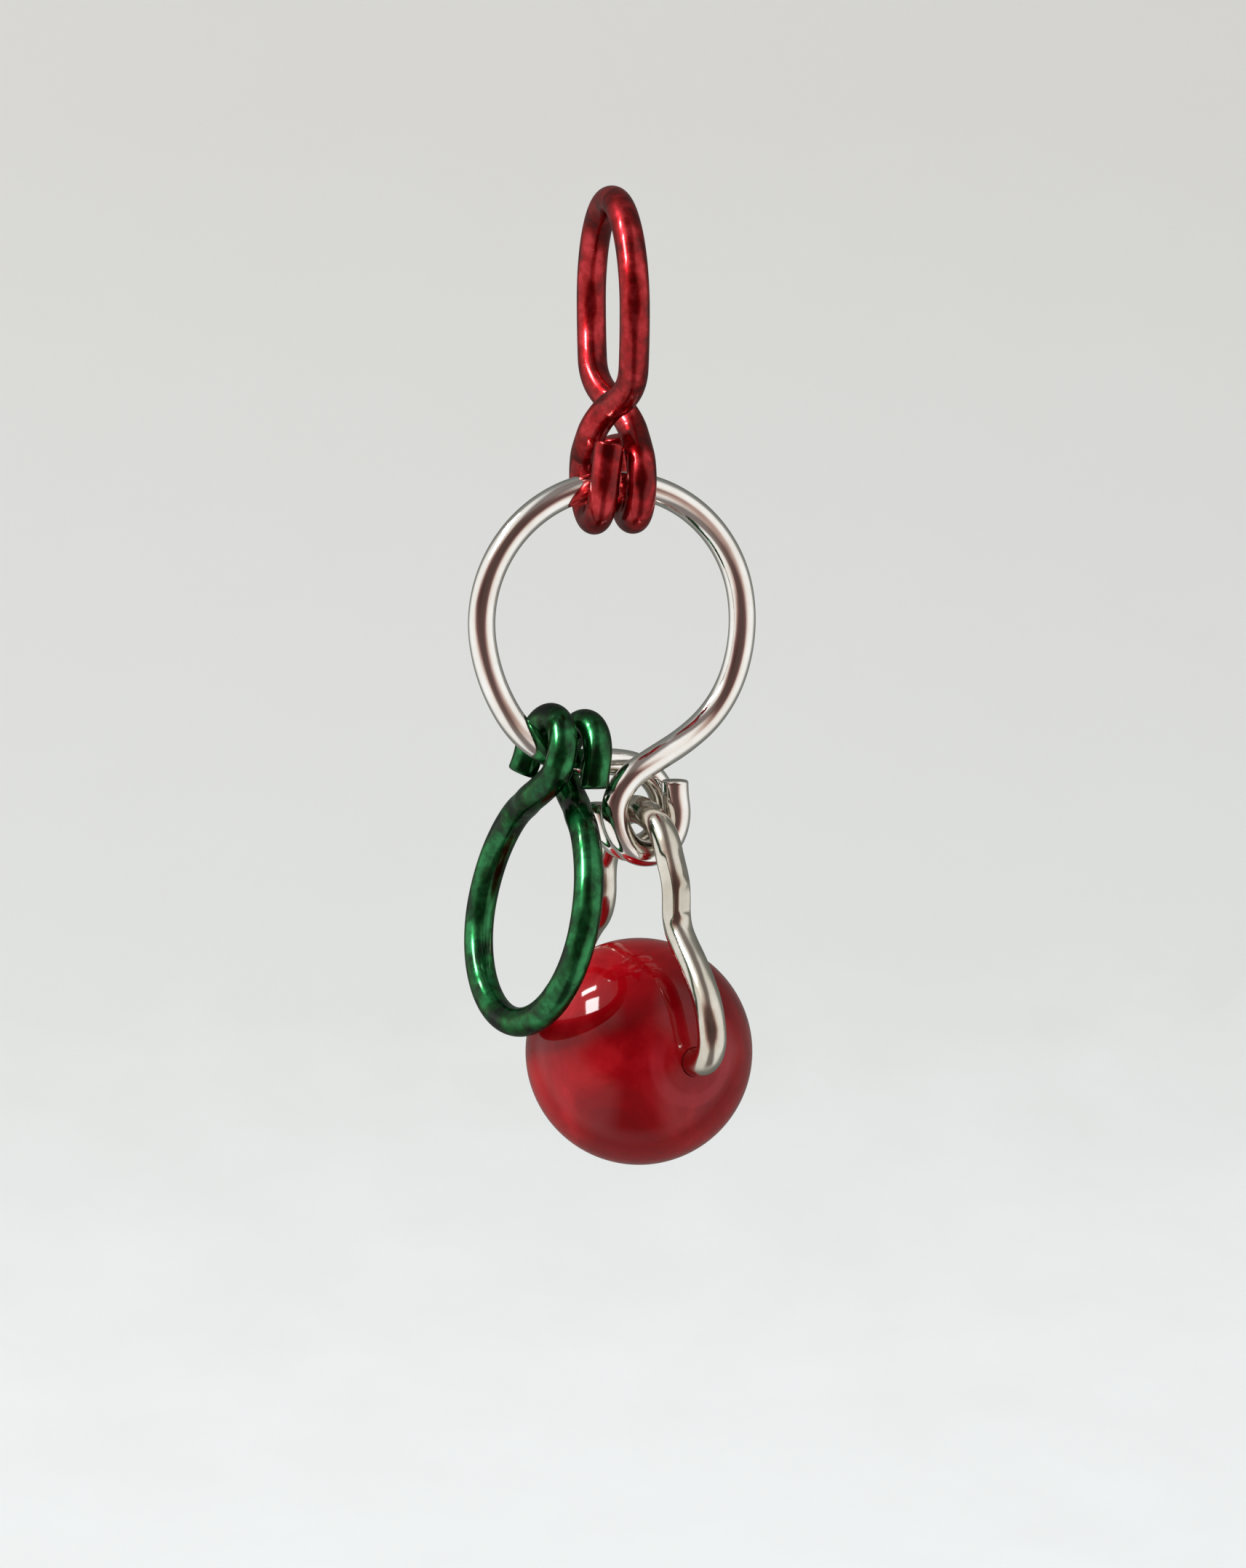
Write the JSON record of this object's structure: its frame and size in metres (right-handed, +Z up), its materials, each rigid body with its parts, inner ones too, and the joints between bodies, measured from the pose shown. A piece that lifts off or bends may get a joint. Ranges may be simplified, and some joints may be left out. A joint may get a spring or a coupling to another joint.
{
  "type": "stitch marker",
  "caption": "Hanging stitch marker: linked wire loops that end in double-turn coils, with a side loop and a round bead in a pinched wire bail.",
  "frame": {"origin": "centre of the top loop's ring", "axes": "+X along the axis of the top loop's ring, to the right as seen from the front; -Y towards the front; +Z up, against the way the marker hangs"},
  "size_m": [0.0104, 0.0111, 0.0344],
  "materials": {
    "red_wire": "clear gloss enamel over copper wire, dark red",
    "silver_wire": "mirror-bright silver plate over copper wire",
    "green_wire": "clear gloss enamel over copper wire, deep green",
    "bail_wire": "bright plated wire, slightly warm",
    "bead": "polished, mottled deep red"
  },
  "bodies": {
    "top": {"top_loop": "red_wire"},
    "center": {"center_loop": "silver_wire"},
    "side": {"side_loop": "green_wire"},
    "bail": {"bead_bail": "bail_wire"},
    "bead": {"bead": "bead"}
  },
  "joints": [
    {"name": "center_swing", "type": "hinge", "parent": "top", "child": "center", "pos_m": [0, 0, -0.00622], "axis": [0.9957, 0.0924, 0], "range_deg": [-75, 75]},
    {"name": "side_swing", "type": "hinge", "parent": "center", "child": "side", "pos_m": [-0.00179, 0.00003, -0.0158], "axis": [0.9044, 0.2666, -0.3331], "range_deg": [-12, 45]},
    {"name": "bail_swing", "type": "hinge", "parent": "center", "child": "bail", "pos_m": [0.00096, 0.00009, -0.01769], "axis": [0.1609, -0.9869, 0.0099], "range_deg": [-1, 50]},
    {"name": "bead_turn", "type": "hinge", "parent": "bail", "child": "bead", "pos_m": [0.00096, 0.00009, -0.02629], "axis": [0.2883, -0.955, 0.0698], "continuous": true}
  ]
}
